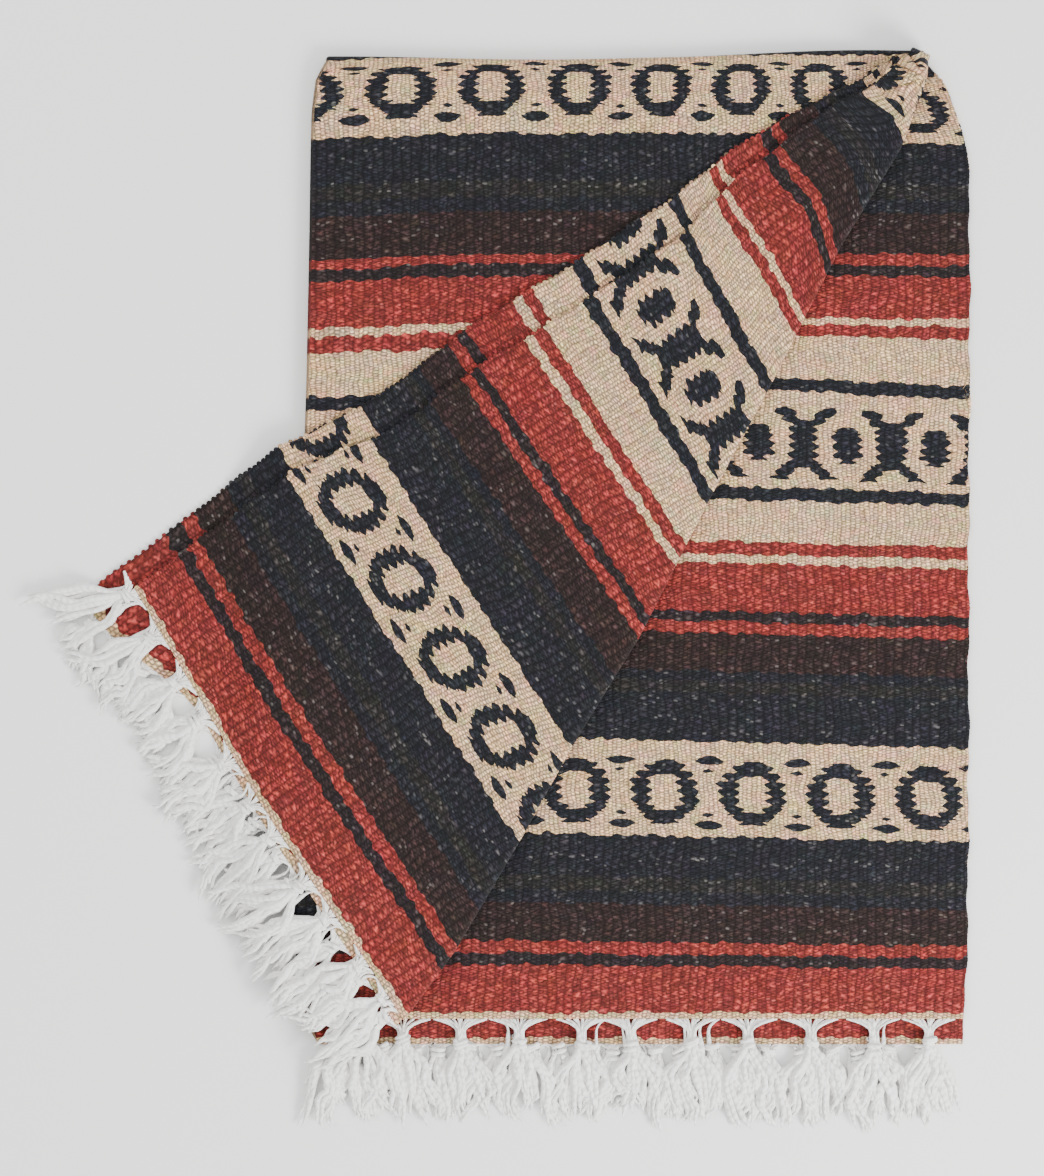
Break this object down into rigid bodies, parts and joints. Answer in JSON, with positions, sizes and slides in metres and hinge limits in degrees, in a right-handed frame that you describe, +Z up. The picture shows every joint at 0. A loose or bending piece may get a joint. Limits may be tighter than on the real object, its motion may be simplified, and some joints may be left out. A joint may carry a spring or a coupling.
{
  "type": "folded woven blanket",
  "caption": "Striped woven blanket folded in four and laid flat, one corner turned back over it and hanging past the side, with fringed ends.",
  "frame": {"origin": "middle of the folded pack's flat underside, on the floor", "axes": "+X towards the pack's selvedge side, +Y towards its folded top edge, +Z up"},
  "size_m": [0.8964, 1.061, 0.0278],
  "materials": {
    "striped_cloth": "coarse plain weave in acrylic and reclaimed yarn, matt, with pale flecks",
    "fringe_yarn": "loosely twisted off-white warp yarn, matt and fluffy"
  },
  "bodies": {
    "root": {"lower_leaf": "striped_cloth", "upper_leaf": "striped_cloth", "flap": "striped_cloth", "fringe_under": "fringe_yarn", "fringe_lower": "fringe_yarn", "fringe_upper": "fringe_yarn", "fringe_flap_under": "fringe_yarn", "fringe_flap": "fringe_yarn"}
  },
  "joints": []
}
